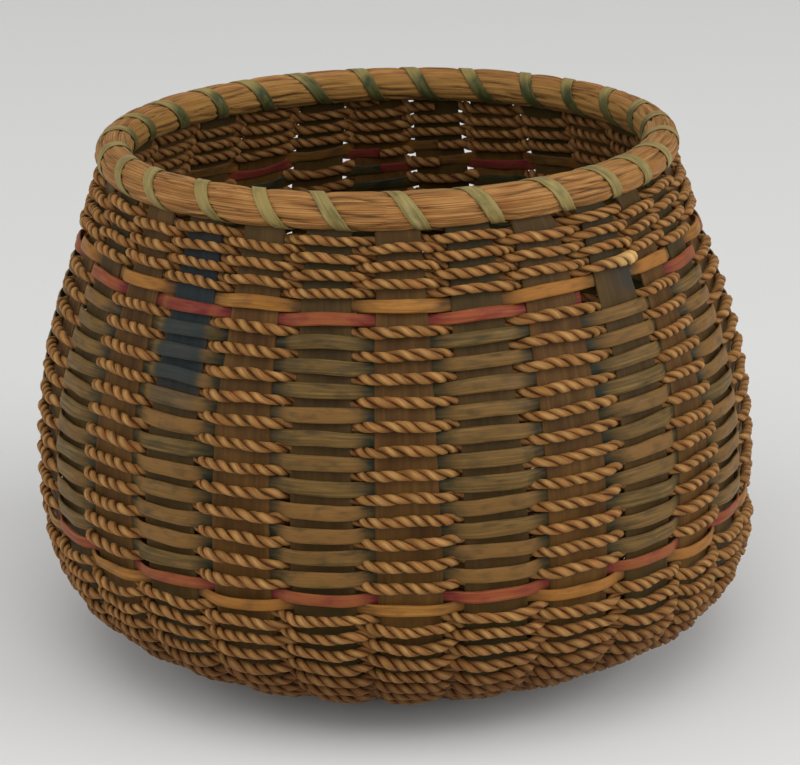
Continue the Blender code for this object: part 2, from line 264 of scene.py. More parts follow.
def new_piece(name, points, corners, totals, uvs, values):
    starts = np.concatenate([[0], np.cumsum(totals)[:-1]])
    mesh = bpy.data.meshes.new(name)
    mesh.vertices.add(len(points))
    mesh.vertices.foreach_set("co", points.astype(np.float32).reshape(-1))
    mesh.loops.add(len(corners))
    mesh.loops.foreach_set("vertex_index", corners.astype(np.int32))
    mesh.polygons.add(len(totals))
    mesh.polygons.foreach_set("loop_start", starts.astype(np.int32))
    layer = mesh.uv_layers.new(name="mm")
    layer.data.foreach_set("uv", (uvs / MM).astype(np.float32).reshape(-1))
    mesh.update(calc_edges=True)
    for key, value in values.items():
        attribute = mesh.attributes.new(key, "FLOAT", "POINT")
        attribute.data.foreach_set("value", value.astype(np.float32))
    mesh.shade_smooth()
    piece = bpy.data.objects.new(name, mesh)
    bpy.context.scene.collection.objects.link(piece)
    print(name, "has", int(np.sum(totals - 2)), "triangles")
    return piece


# %% [markdown]
# Faces with four corners join each ring to the next. The ends of an open tube are closed.

# %% Joining rings


def swept(name, tubes, closed=False):
    points, corners, totals, uvs = [], [], [], []
    values = {key: [] for key in tubes[0]["values"]}
    base = 0
    for tube in tubes:
        rings, along, around = tube["rings"], tube["along"], tube["around"]
        count, sides = rings.shape[:2]
        number = base + np.arange(count * sides).reshape(count, sides)
        here = number if closed else number[:-1]
        ahead = np.roll(number, -1, axis=0) if closed else number[1:]
        quads = np.stack([here, ahead, np.roll(ahead, -1, 1), np.roll(here, -1, 1)], -1)
        along_here = along if closed else along[:-1]
        along_next = np.append(along[1:], 2 * along[-1] - along[-2]) if closed else along[1:]
        u = np.stack([along_here, along_next, along_next, along_here], -1)[:, None, :]
        v = np.stack([around[:-1], around[:-1], around[1:], around[1:]], -1)[None]
        shape = (len(along_here), sides, 4)
        uv = np.stack([np.broadcast_to(u, shape), np.broadcast_to(v, shape)], -1)
        uvs.append(uv.reshape(-1, 2))
        corners.append(quads.reshape(-1))
        totals.append(np.full(quads.shape[0] * sides, 4))
        if not closed:
            corners += [number[0], number[-1, ::-1]]
            totals.append(np.full(2, sides))
            uvs.append(np.zeros((2 * sides, 2)))
        points.append(rings.reshape(-1, 3))
        for key, value in tube["values"].items():
            values[key].append(np.broadcast_to(value, (count, sides)).reshape(-1))
        base += count * sides
    points, corners = leaning(np.concatenate(points)), np.concatenate(corners)
    totals, uvs = np.concatenate(totals), np.concatenate(uvs)
    values = {key: np.concatenate(value) for key, value in values.items()}
    return new_piece(name, points, corners, totals, uvs, values)


# %% [markdown]
# `flat_rings` carries a thin rounded section along a line on the wall. Its corners are
# rounded because a split piece of wood is scraped before it is woven. `square_to` turns
# the way off the wall so that it stands square to the line.

# %% A flat strip on the wall


def section(sides, roundness):
    """Corners from -1 to 1. A lower roundness gives a slab."""
    turn = np.arange(sides) * TURN / sides + TURN / sides / 2
    out = np.sign(np.cos(turn)) * np.abs(np.cos(turn)) ** roundness
    up = np.sign(np.sin(turn)) * np.abs(np.sin(turn)) ** roundness
    return out, up


def flat_rings(middle, out, up, depth, height, sides=12, roundness=0.5):
    across, along = section(sides, roundness)
    depth = np.broadcast_to(depth, len(middle))[:, None, None] / 2
    height = np.broadcast_to(height, len(middle))[:, None, None] / 2
    rings = middle[:, None, :] + depth * across[None, :, None] * out[:, None, :]
    return rings + height * along[None, :, None] * up[:, None, :]


def heading(middle):
    ahead = np.gradient(middle, axis=0)
    return ahead / np.linalg.norm(ahead, axis=1)[:, None]


def square_to(middle, out):
    ahead = heading(middle)
    out = out - np.sum(out * ahead, 1)[:, None] * ahead
    out /= np.linalg.norm(out, axis=1)[:, None]
    return out, np.cross(out, ahead)


def length_along(middle):
    return np.concatenate([[0.0], np.cumsum(np.linalg.norm(np.diff(middle, axis=0), axis=1))])


print("A section with four corners:", np.round(np.stack(section(4, 0.5), -1), 2).tolist())

# %% [markdown]
# ## The row plan
# The rows are counted and measured down the side: seven cord rows, a natural and a red
# band, cord and green splint in turn, a red and a natural band, and then cord rows down
# to the heel. Chase weaving uses two strands at once. Strand 0 passes over the even
# stakes and behind the odd ones, and strand 1 does the opposite, so each row of the plan
# belongs to one of them.

# %% Row plan
TOP_ROWS = [(7.2 + 2.18 * row) * MM for row in range(7)]
UPPER_NATURAL, UPPER_RED = 23.4 * MM, 26.8 * MM
MIDDLE_CORDS = [(29.7 + 5.81 * row) * MM for row in range(12)]
MIDDLE_SPLINTS = [(32.5 + 5.89 * row) * MM for row in range(11)]
LOWER_RED, LOWER_NATURAL = 97.0 * MM, 99.8 * MM
LOWER_PITCH = 2.42 * MM
LOWER_ROWS = [LOWER_NATURAL + 2.8 * MM + row * LOWER_PITCH for row in range(27)]
BASE_ROW_COUNT = 4
cords_end = LOWER_ROWS[-1] + LOWER_PITCH / 2
BASE_PITCH = (SIDE_LENGTH - cords_end) / BASE_ROW_COUNT
BASE_ROWS = [cords_end + (row + 0.5) * BASE_PITCH for row in range(BASE_ROW_COUNT)]
over_even = TOP_ROWS[1::2] + [UPPER_NATURAL] + MIDDLE_CORDS + [LOWER_NATURAL] + LOWER_ROWS[1::2]
over_odd = TOP_ROWS[0::2] + [UPPER_RED] + MIDDLE_SPLINTS + [LOWER_RED] + LOWER_ROWS[0::2]
PLAN = (over_even + BASE_ROWS[0::2], over_odd + BASE_ROWS[1::2])
print("Rows of strand 0 and strand 1:", len(PLAN[0]), len(PLAN[1]))

# %% [markdown]
# ## How a strand runs
# Each strand sinks gently to its next row at the back, over a few stakes, so that the
# step doesn't show. The weave is a little tighter there. The in and out is a cosine along
# the stakes with its tops flattened, because a cord lies along the face of a stake and
# dives only in the gap. This wave is 1 over a stake and -1 behind the next one.

# %% The path of a strand
BACK_STAKE = 13
STEP_HALF = 2.2 / STAKE_COUNT      # half of the turn that a strand takes to sink one row
TIGHTER_AT_BACK = 0.30
ROW_DRIFT = 0.30 * MM
WALL_RADIUS = 80.0 * MM      # makes an angle a length along the wall


def at_back(angle):
    """0 in front and at the sides, and 1 at the back."""
    return rising(-np.cos(angle), 0.1, 0.5)


def in_gap(wave):
    """1 where a strand dives between two stakes."""
    return np.exp(-((wave / 0.5) ** 2))


def strand_path(strand, downs, spacing, over, behind, flatness):
    plan = PLAN[strand]
    first = plan.index(downs[0])
    lasting = [2 * plan[0] - plan[1], *plan, 2 * plan[-1] - plan[-2]]
    turns, knots, levels = [], [], []
    for row, down in enumerate(downs):
        samples = int(TURN * side_at(down)[0] / spacing)
        turns.append(row + np.arange(samples) / samples)
    for row in range(-1, len(downs) + 1):
        knots += [row + STEP_HALF, row + 1 - STEP_HALF]
        levels += [lasting[first + row + 1]] * 2
    turns = np.concatenate([*turns, [float(len(downs))]])
    angle = stake_angle(BACK_STAKE + strand) + turns * TURN
    level = np.interp(turns, knots, levels)
    wave = np.cos(math.pi * (angle - FRONT_STAKE_ANGLE) / STAKE_PITCH)
    wave = wave if strand == 0 else -wave
    reach = np.where(wave > 0, over, behind) * (1 - TIGHTER_AT_BACK * at_back(angle))
    return angle, level, reach * np.tanh(flatness * wave) / math.tanh(flatness), wave


trial = strand_path(0, [UPPER_NATURAL], 1.0 * MM, 2.0 * MM, 1.0 * MM, 2.0)
print("Off the wall, mm:", np.round(trial[2].min() / MM, 2), "to", np.round(trial[2].max() / MM, 2))

# %% [markdown]
# ## Adding nodes
# A material is a small tree of nodes. `add` makes one node, sets its fields, sets or links
# its inputs and gives back one of its outputs. `colour` turns a hex colour as written in a
# paint chart into the linear numbers that Blender works with. A Mix node lays a colour
# over another or tints it.

# %% Helpers for materials
FACTOR, BELOW, ABOVE, MIXED = 0, 6, 7, 2      # sockets of a Mix node that mixes colours
LAID_OVER = {"out": MIXED, "data_type": "RGBA"}
TINTED = {"out": MIXED, "data_type": "RGBA", "blend_type": "MULTIPLY"}


def colour(hex_code):
    channels = [int(hex_code[start:start + 2], 16) / 255 for start in (1, 3, 5)]
    linear = [c / 12.92 if c <= 0.04045 else ((c + 0.055) / 1.055) ** 2.4 for c in channels]
    return (*linear, 1.0)


def add(finish, kind, inputs, out=0, stops=(), **fields):
    node = finish.node_tree.nodes.new("ShaderNode" + kind)
    for key, value in fields.items():
        setattr(node, key, value)
    for key, value in inputs.items():
        if isinstance(value, bpy.types.NodeSocket):
            finish.node_tree.links.new(value, node.inputs[key])
        else:
            node.inputs[key].default_value = value
    for number, (position, code) in enumerate(stops):
        elements = node.color_ramp.elements
        element = elements[number] if number < 2 else elements.new(position)
        element.position, element.color = position, colour(code)
    return node.outputs[out]


def new_finish(name):
    finish = bpy.data.materials.new(name)
    finish.use_nodes = True
    return finish


print("Middle grey in linear numbers:", round(colour("#808080")[0], 3))

# %% [markdown]
# ## Plant fibre
# Every finish here is plant fibre: wood split along its grain, or grass. What the eye
# sees is streaks along the fibre, slow patches of age, darker hollows and a dull skin.
# `streaks` is noise that is stretched along the piece, in real millimetres: the piece's UV
# map runs along the fibre first and across it second. Real fibres are too fine to show,
# so the streaks are a third to half of a millimetre wide. `covered` puts the colour, the
# relief and the sheen on the shader. Streaks that lie deeper are also duller.

# %% Streaks along a fibre, and a finished shader
SKIN_GLOSS = 0.14
FUZZ_WEIGHT, FUZZ_COLOUR = 0.10, "#f2cf8c"


def streaks(finish, along_mm, across_mm, detail=3.0):
    place_mm = add(finish, "UVMap", {}, uv_map="mm")
    shrunk = add(finish, "Mapping", {"Vector": place_mm, "Scale": (1 / along_mm, 1 / across_mm, 1.0)})
    return add(finish, "TexNoise", {"Vector": shrunk, "Scale": 1.0, "Detail": detail})


def covered(finish, body, height, depth_mm, dull, shiny):
    shader = finish.node_tree.nodes["Principled BSDF"]
    bump = add(finish, "Bump", {"Height": height, "Distance": depth_mm * MM})
    from_to = {"From Min": 0.3, "From Max": 0.7, "To Min": dull, "To Max": shiny}
    roughness = add(finish, "MapRange", {"Value": height, **from_to})
    for socket, value in (("Base Color", body), ("Normal", bump), ("Roughness", roughness)):
        finish.node_tree.links.new(value, shader.inputs[socket])
    shader.inputs["Specular IOR Level"].default_value = SKIN_GLOSS
    shader.inputs["Sheen Weight"].default_value = FUZZ_WEIGHT
    shader.inputs["Sheen Tint"].default_value = colour(FUZZ_COLOUR)
    print(finish.name, "has", len(finish.node_tree.nodes), "nodes")
    return finish


# %% [markdown]
# Old split ash: brown with fine darker lines along the grain, and slow patches where the
# skin has darkened. A dark olive is mixed in, partly as green that the wood has taken and
# partly as painted shade, and `ink` says how much blue it has taken.

# %% Finish: aged split ash
GRAIN_COLOURS = ((0.2, "#543716"), (0.8, "#745023"), (0.5, "#62421b"))
ash = new_finish("aged_split_ash")
grain = streaks(ash, 22.0, 0.5)
patches = streaks(ash, 15.0, 6.0)
green_and_shade, ink = (add(ash, "Attribute", {}, "Fac", attribute_name=key) for key in ("green_and_shade", "ink"))
body = add(ash, "ValToRGB", {"Fac": grain}, stops=GRAIN_COLOURS)
age = add(ash, "ValToRGB", {"Fac": patches}, stops=((0.35, "#8a7456"), (0.65, "#ffffff")))
body = add(ash, "Mix", {FACTOR: 0.6, BELOW: body, ABOVE: age}, **TINTED)
# Dark olive: partly green taken from the dyed splint, partly painted shade between rows and splints
body = add(ash, "Mix", {FACTOR: green_and_shade, BELOW: body, ABOVE: colour("#2f2912")}, **LAID_OVER)
body = add(ash, "Mix", {FACTOR: ink, BELOW: body, ABOVE: colour("#182429")}, **LAID_OVER)
covered(ash, body, grain, 0.10, 0.7, 0.5)

# %% [markdown]
# Twisted grass cord: golden plies with fine blades along them. The crest of each ply has a
# painted highlight, a frayed cord is paler, and a few plies are more orange. The valley
# between the plies is painted dark as shade, and so are the rows near the floor and the
# lengths that lie behind the stakes, inside the basket.

# %% Finish: twisted grass cord
BLADE_COLOURS = ((0.28, "#553615"), (0.72, "#9d7143"), (0.5, "#764f23"))
BLUSH_COLOURS = ((0.35, "#d8bd9a"), (0.68, "#ffdabc"), (0.5, "#fff6e2"))
cord_finish = new_finish("twisted_grass_cord")
blades = streaks(cord_finish, 7.0, 0.32)
blush = streaks(cord_finish, 6.0, 5.0, 1.0)
groove_shade, crest_highlight_and_fray, heel_and_inner_shade = (
    add(cord_finish, "Attribute", {}, "Fac", attribute_name=key) for key in ("groove_shade", "crest_highlight_and_fray", "heel_and_inner_shade")
)
body = add(cord_finish, "ValToRGB", {"Fac": blades}, stops=BLADE_COLOURS)
warm = add(cord_finish, "ValToRGB", {"Fac": blush}, stops=BLUSH_COLOURS)
body = add(cord_finish, "Mix", {FACTOR: 0.8, BELOW: body, ABOVE: warm}, **TINTED)
# Painted highlight on the crest of each ply, and the real paleness of a frayed cord
body = add(cord_finish, "Mix", {FACTOR: crest_highlight_and_fray, BELOW: body, ABOVE: colour("#d6b070")}, **LAID_OVER)
# Painted shade: the valley between the plies is darkened
body = add(cord_finish, "Mix", {FACTOR: groove_shade, BELOW: body, ABOVE: colour("#36200c")}, **LAID_OVER)
# Painted shade: darker towards the heel and behind the stakes, inside the basket
body = add(cord_finish, "Mix", {FACTOR: heel_and_inner_shade, BELOW: body, ABOVE: colour("#401e05")}, **LAID_OVER)
covered(cord_finish, body, blades, 0.12, 0.7, 0.48)

# %% [markdown]
# The dyed splints have faded where the light reached them. Behind the stakes and inside
# the basket the green is nearly black and the red is still crimson. Each point's `tuck`
# says how far behind it lies, and `tone` how brown it has faded. Dark blotches are dye
# that has stayed.

# %% Finishes: dyed and natural splint
SPLINT_INK = "#17262a"


def splint_finish(name, dark, middle, light, faded, tucked, reach):
    finish = new_finish(name)
    grain = streaks(finish, 16.0, 0.36)
    patches = streaks(finish, 6.0, 1.8)
    tuck, tone, ink = (
        add(finish, "Attribute", {}, "Fac", attribute_name=key) for key in ("tuck", "tone", "ink")
    )
    body = add(finish, "ValToRGB", {"Fac": grain}, stops=((0.3, dark), (0.72, light), (0.5, middle)))
    body = add(finish, "Mix", {FACTOR: tone, BELOW: body, ABOVE: colour(faded)}, **LAID_OVER)
    blotch = {"Value": patches, "From Min": 0.48, "From Max": 0.72, "To Max": 0.6}
    stayed = add(finish, "MapRange", blotch)
    kept = add(finish, "Math", {0: tuck, 1: reach}, operation="MULTIPLY")
    kept = add(finish, "Math", {0: kept, 1: stayed}, operation="ADD", use_clamp=True)
    body = add(finish, "Mix", {FACTOR: kept, BELOW: body, ABOVE: colour(tucked)}, **LAID_OVER)
    body = add(finish, "Mix", {FACTOR: ink, BELOW: body, ABOVE: colour(SPLINT_INK)}, **LAID_OVER)
    return covered(finish, body, grain, 0.14, 0.6, 0.42)


green_finish = splint_finish(
    "faded_green_ash_splint", "#3e3017", "#55411e", "#70592d", "#735026", "#1b2015", 0.75
)
natural_finish = splint_finish(
    "natural_ash_splint", "#6c4519", "#835721", "#986c32", "#8b5a24", "#4c3217", 0.7
)
red_finish = splint_finish(
    "faded_red_ash_splint", "#5f2816", "#7a3a1f", "#8c4d2e", "#7d4523", "#5c171d", 0.7
)

# %% [markdown]
# The rim is pale split fibre with open cracks, which are painted dark as shade, and its
# lashing is olive splint. The rim's inner side is painted darker, as shade inside the
# basket, and the lashing has kept more of its dye on the inner side.

# %% Finishes: rim fibre and lashing
FIBRE_COLOURS = ((0.3, "#644222"), (0.7, "#b58e5e"), (0.48, "#946d3d"))
rim_finish = new_finish("bundled_rim_fibre")
fibres = streaks(rim_finish, 75.0, 0.36, 2.5)
weather = streaks(rim_finish, 11.0, 3.0)
groove_shade, inner_side_shade = (
    add(rim_finish, "Attribute", {}, "Fac", attribute_name=key) for key in ("groove_shade", "inner_side_shade")
)
body = add(rim_finish, "ValToRGB", {"Fac": fibres}, stops=FIBRE_COLOURS)
age = add(rim_finish, "ValToRGB", {"Fac": weather}, stops=((0.35, "#cfa87c"), (0.62, "#fff0dc")))
body = add(rim_finish, "Mix", {FACTOR: 0.7, BELOW: body, ABOVE: age}, **TINTED)
# Painted shade: the rim's inner side, facing into the basket, is darkened
body = add(rim_finish, "Mix", {FACTOR: inner_side_shade, BELOW: body, ABOVE: colour("#83602c")}, **LAID_OVER)
# Painted shade in the open cracks of the rim
body = add(rim_finish, "Mix", {FACTOR: groove_shade, BELOW: body, ABOVE: colour("#3f2610")}, **LAID_OVER)
covered(rim_finish, body, fibres, 0.30, 0.75, 0.5)
lashing_finish = splint_finish(
    "olive_lashing_splint", "#61532b", "#817244", "#988a5e", "#877644", "#30361a", 1.0
)

# %% [markdown]
# ## Fitting a piece
# A basket has no part that moves, so every piece rides on its one body. Each piece also
# takes its finish and hides the plain node that it stands in for.

# %% A woven piece


def woven(name, tubes, finish, node, closed=False):
    piece = swept(name, tubes, closed)
    piece.data.materials.append(finish)
    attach(piece, "root")
    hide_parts(node)


# %% [markdown]
# ## The stakes
# Fourteen long ash splints cross in the middle of the base and run up both sides into the
# rim. Each is widest at the belly and narrow where all of them lie on each other.

# %% How wide a stake is
RIM_STAKE_GAP, BELLY_STAKE_GAP, BASE_STAKE_GAP = 5.8 * MM, 5.2 * MM, 2.9 * MM
WAIST_WIDTH, WAIST_THICKNESS = 3.6 * MM, 0.45 * MM


def stake_width(down):
    radius, height, _, _ = side_at(down)
    share = np.clip((height - BELLY_HEIGHT) / (RIM_HEIGHT - BELLY_HEIGHT), 0, 1)
    above = BELLY_STAKE_GAP + share * (RIM_STAKE_GAP - BELLY_STAKE_GAP)
    share = np.clip((radius - BASE_RADIUS) / (BELLY_RADIUS - BASE_RADIUS), 0, 1)
    below = BASE_STAKE_GAP + share * (BELLY_STAKE_GAP - BASE_STAKE_GAP)
    below = np.where(radius < BASE_RADIUS, BASE_STAKE_GAP * radius / BASE_RADIUS, below)
    gap = np.where(height > BELLY_HEIGHT, above, below)
    return np.maximum(WAIST_WIDTH, 2 * radius * math.tan(math.pi / STAKE_COUNT) - gap)


widths = stake_width(np.array([0.0, side_down[len(upper) - 1], SIDE_LENGTH]))
print("Width at the rim, the belly and the hub, mm:", np.round(widths / MM, 1))

# %% [markdown]
# Two dyes have coloured the wood. Blue covers the upper part of one stake at the left
# and has left a spot by the broken band. The stakes behind the green splint have taken
# some of its colour, and are painted darker still, as shade in the narrow gaps between the
# splints. All of them are mixed towards the dark olive near the rim and low down, as
# painted shade between close rows.

# %% Stains and painted shade on the stakes
STAINED_STAKE, BROKEN_STAKE = 25, 3
SPOT_SIDE, SPOT_LEVEL = 0.27, 25.0      # stakes' pitches round, and mm down


def degrees_from(angle, middle):
    return np.abs((angle - middle + math.pi) % TURN - math.pi) / math.radians(1.0)


def ink_at(angle, down):
    level = down / MM
    stained = rising(degrees_from(angle, stake_angle(STAINED_STAKE)), 5.6, 3.6)
    stained = 0.95 * stained * rising(level, 6, 11) * rising(level, 55, 44)
    spot = rising(degrees_from(angle, stake_angle(BROKEN_STAKE) + SPOT_SIDE * STAKE_PITCH), 3.0, 0.6)
    return stained + 0.7 * spot * rising(np.abs(level - SPOT_LEVEL), 5.0, 1.5)


def green_and_shade_at(number, down):
    level = down / MM
    # Painted shade as well as green: odd stakes darker between the splints, all darker near the rim
    # and low down
    shade = 0.10 + 0.48 * (number % 2) + 0.14 * wander(down, 500 + number, 53 * MM)
    return np.clip(shade + 0.40 * rising(level, 27, 16) + 0.25 * rising(level, 98, 112), 0, 0.85)


print("Green in stakes 0 and 1, 60 mm down:", [round(float(green_and_shade_at(n, 60 * MM)), 2) for n in (0, 1)])

# %% [markdown]
# Half a splint is worked out from its tip to the middle of the base, and the rest is its
# mirror image. The splints lie on each other at the hub, so each one rises a little more.

# %% Stakes
LAYER_RISE = 0.65 * MM
TIP_RISE = 2.6 * MM
STAKE_SPACING, HUB_POINTS = 1.2 * MM, 24
HUB_GAP = 0.4 * MM
WIDER_AT_BACK = 2.2 * MM      # near the rim, where the gaps are small
STAKE_SIDES = 14


def stake_half(number):
    """Radius, height, width, thickness and distance down."""
    down = np.arange(-TIP_RISE, SIDE_LENGTH, STAKE_SPACING)
    radius, height, _, _ = side_at(down)
    width = stake_width(np.maximum(down, 0))
    apart = (WAIST_WIDTH + HUB_GAP) / (2 * math.tan(math.pi / STAKE_COUNT))
    hub_radii = np.linspace(HUB_RADIUS, 0, HUB_POINTS)
    ease = np.clip((HUB_RADIUS - hub_radii) / (HUB_RADIUS - apart), 0, 1)
    thinner = STAKE_THICKNESS + (WAIST_THICKNESS - STAKE_THICKNESS) * ease
    return (
        np.concatenate([radius, hub_radii]),
        np.concatenate([height, BASE_LEVEL + number * LAYER_RISE * ease]),
        np.concatenate([width, width[-1] + (WAIST_WIDTH - width[-1]) * ease]),
        np.concatenate([np.full(len(down), STAKE_THICKNESS), thinner]),
        np.concatenate([down, SIDE_LENGTH + np.arange(HUB_POINTS) * STAKE_SPACING]),
    )


for number in range(STAKE_COUNT // 2):
    radius, *rest = stake_half(number)
    across = np.concatenate([radius, -radius[-2::-1]])
    height, width, thick, down = (np.concatenate([half, half[-2::-1]]) for half in rest)
    angle = stake_angle(number)
    run = length_along(np.stack([across, height, 0 * height], -1))
    sideways = 0.25 * MM * wander(run, 40 + number, 60 * MM)
    width = width * (1 + 0.018 * wander(run, 60 + number, 45 * MM))
    own_side = np.where(across >= 0, angle, angle + math.pi)
    width = width + WIDER_AT_BACK * at_back(own_side) * rising(height / MM, 90, 115)
    outer = np.array([math.sin(angle), -math.cos(angle), 0.0])
    beside = np.array([math.cos(angle), math.sin(angle), 0.0])
    upright = np.array([0.0, 0.0, 1.0])
    middle = across[:, None] * outer + sideways[:, None] * beside + height[:, None] * upright
    ahead = heading(middle)
    out = np.cross(np.broadcast_to(beside, ahead.shape), ahead)
    rings = flat_rings(middle, out, np.cross(out, ahead), thick, width, STAKE_SIDES, 0.42)
    turned = np.arctan2(rings[..., 0], -rings[..., 1])
    tube = {
        "rings": rings,
        "along": run,
        "around": np.linspace(0, 34 * MM, STAKE_SIDES + 1),
        "values": {"ink": ink_at(turned, down[:, None]), "green_and_shade": green_and_shade_at(number, down)[:, None]},
    }
    node = f"ash_splint_{number + 1:02d}"
    woven(f"{node}_wood", [tube], ash, node)
print(STAKE_COUNT // 2, "splints make", STAKE_COUNT, "stakes")

# %% [markdown]
# ## The twisted cord
# Each cord is two plies of grass laid round each other. First comes the cord's middle
# line. Near the heel it lies closer to the stakes, and its rows stray up and down.

# %% The line of a cord
CORD_SPACING = 0.78 * MM
CORD_BEHIND = 1.8 * MM
CLOSER_AT_HEEL = 1.5 * MM
LOWEST_MIDDLE = 1.5 * MM      # a cord at the heel is pressed up by the floor


def cord_line(strand, downs, seed, over=2.3, flatness=2.2, loose_mm=0.26):
    path = strand_path(strand, downs, CORD_SPACING, over * MM, CORD_BEHIND, flatness)
    angle, level, off, wave = path
    level = level + ROW_DRIFT * drift(angle, level)
    off = off - CLOSER_AT_HEEL * rising(level / MM, 120, 146)
    own = wander(angle * WALL_RADIUS, seed, 23 * MM)
    fuller = wander(angle * WALL_RADIUS, seed + 4, 33 * MM)
    off = off + 0.25 * MM * fuller * (wave > 0) * wave
    middle = place(angle, level + loose_mm * MM * own, off)
    middle[:, 2] = np.maximum(middle[:, 2], LOWEST_MIDDLE)
    return angle, level, wave, middle


trial = cord_line(0, [MIDDLE_CORDS[0]], 161)[3]
print("One row of cord is", round(length_along(trial)[-1] / MM), "mm long")

# %% [markdown]
# A ply is a flattened bundle that winds round the cord's middle, so its outline shows as
# fat slanting lozenges. The plies are made as two tubes, half a turn apart. The slant runs
# down to the right on the outside, and the lay is tight in some rows and loose in others.
# A frayed cord is looser, thicker and paler. Each point also gets the values that the
# finish reads: painted shade in the valley between the plies, a painted highlight on
# their crests, and painted shade low down and behind the stakes.

# %% The plies of a cord
PLY_OFFSET, PLY_DEPTH, PLY_WIDTH = 0.58 * MM, 0.72 * MM, 1.08 * MM
PLY_SIDES = 8
LOWEST_POINT = 0.02 * MM
VALLEY_SHADE, TIP_HIGHLIGHT = 0.85, 0.40


def cord_shade(level, wave):
    """Painted shade: darker low down and behind the stakes, inside the basket."""
    low = 0.06 * rising(level / MM, 96, 112) + 0.58 * rising(level / MM, 107, 129)
    return low + 0.42 * rising(wave, 0.3, -0.4)


def cord_tubes(strand, downs, seed, lay_mm=7.2, fatness=1.0, uneven=0.08, frayed=None, **line):
    angle, level, wave, middle = cord_line(strand, downs, seed, **line)
    out, up = square_to(middle, outward(angle, level))
    run = length_along(middle)
    tightness = 0.22 * wander(run, seed + 1, 140 * MM) + 0.14 * wander(run, seed + 2, 31 * MM)
    lay = lay_mm * MM * (1 + tightness)
    wound = -np.concatenate([[0.0], np.cumsum(np.diff(run) / lay[1:])]) * TURN
    loose = np.zeros(len(run))
    if frayed is not None:
        loose = rising(angle, frayed[0], frayed[1]) * rising(angle, frayed[3], frayed[2])
    thick = fatness * (1 + uneven * wander(run, seed + 3, 47 * MM)) * (1 + 0.42 * loose)
    squeeze = 1 + in_gap(wave) * (0.5 * at_back(angle) - 0.08)
    turn = math.pi + np.arange(PLY_SIDES) * TURN / PLY_SIDES
    # Painted shade on the sides of a ply that face the other ply, in the valley between them
    valley_shade = VALLEY_SHADE * rising(np.cos(turn), 0.05, -0.8)[None]
    # Painted highlight: the crest of each ply, farthest from the cord's middle, is made paler
    tip = TIP_HIGHLIGHT * rising(np.cos(turn), 0.5, 1.0)[None]
    tip = tip * (0.6 + 0.4 * wander(run, seed + 9, 13 * MM))[:, None]
    values = {
        "groove_shade": valley_shade * (1 - 0.5 * loose[:, None]),
        "crest_highlight_and_fray": np.clip(tip + 0.6 * loose[:, None], 0, 1),
        "heel_and_inner_shade": cord_shade(level, wave)[:, None],
    }
    tubes = []
    for ply in (0, 1):
        phase = wound + ply * math.pi + 0.30 * wander(run, seed + 5 + ply, 17 * MM)
        fat = thick * (1 + 0.12 * wander(run, seed + 7 + ply, 9 * MM))
        along_r = PLY_OFFSET * thick[:, None] + PLY_DEPTH * fat[:, None] * np.cos(turn)
        along_t = PLY_WIDTH * fat[:, None] * np.sin(turn)
        cos, sin = np.cos(phase)[:, None], np.sin(phase)[:, None]
        out_part = along_r * cos - along_t * sin
        up_part = (along_r * sin + along_t * cos) * squeeze[:, None]
        rings = middle[:, None] + out_part[..., None] * out[:, None] + up_part[..., None] * up[:, None]
        rings[..., 2] = np.maximum(rings[..., 2], LOWEST_POINT)
        tubes.append({
            "rings": rings,
            "along": run * 1.2 + ply * 37 * MM,
            "around": np.linspace(0, 6.2 * MM, PLY_SIDES + 1),
            "values": values,
        })
    return tubes


# %% [markdown]
# The cord rows follow. The last row of the top zone is frayed by the broken band. The
# middle cord is a little fatter and more loosely laid, and the lower cords are fatter
# too, bow out further and are less even.

# %% Cords
LOWER_WAYS = {"over": 2.9, "flatness": 1.5, "fatness": 1.1, "loose_mm": 0.6, "uneven": 0.16}


def cord_piece(name, strand, downs, seed, node, **ways):
    woven(name, cord_tubes(strand, downs, seed, **ways), cord_finish, node)


fray = [TURN + stake_angle(BROKEN_STAKE + beside) for beside in (-0.25, 0.25, 0.6, 1.1)]
cord_piece("top_cord_over_odd", 1, TOP_ROWS[0:6:2], 101, "upper_cord_over_odd_stakes")
cord_piece("top_cord_last_row", 1, TOP_ROWS[6:], 111, "upper_cord_over_odd_stakes", frayed=fray)
cord_piece("top_cord_over_even", 0, TOP_ROWS[1::2], 131, "upper_cord_over_even_stakes")
cord_piece("middle_cord_upper_rows", 0, MIDDLE_CORDS[:6], 161, "middle_cord", lay_mm=8.0, fatness=1.1)
cord_piece("middle_cord_lower_rows", 0, MIDDLE_CORDS[6:], 191, "middle_cord", lay_mm=8.0, fatness=1.1)
for strand, label in ((1, "odd"), (0, "even")):
    rows = LOWER_ROWS[1 - strand::2]
    half = len(rows) // 2 - 1
    name = f"lower_cord_over_{label}"
    cord_piece(f"{name}_upper_rows", strand, rows[:half], 221 + strand, f"{name}_stakes", **LOWER_WAYS)
    cord_piece(f"{name}_lower_rows", strand, rows[half:], 251 + strand, f"{name}_stakes", **LOWER_WAYS)

# %% [markdown]
# ## Flat splints and bands
# The green splint of the middle zone and the four bands are flat strips. They bow over
# the stakes in a gentler curve than the cord and turn on edge a little as they dive. Each
# length that shows over a stake has faded by an amount of its own.

# %% The tube of a flat splint
SPLINT_SPACING = 0.9 * MM
SPLINT_SIDES = 12
BASE_GREEN_AND_SHADE = 0.3      # only the base splints have the ash finish, which reads it


def splint_height(height_mm, run, angle, level, wave, seed):
    """A little more over a stake, low down and in the gaps at the back."""
    height = height_mm * MM * (1 + 0.07 * wander(run, seed, 60 * MM))
    height = height * (0.95 + 0.05 * np.clip(wave, 0, 1))
    height = height * (1 + 0.13 * rising(level / MM, 30, 55))
    return height * (1 + 0.3 * at_back(angle) * in_gap(wave))


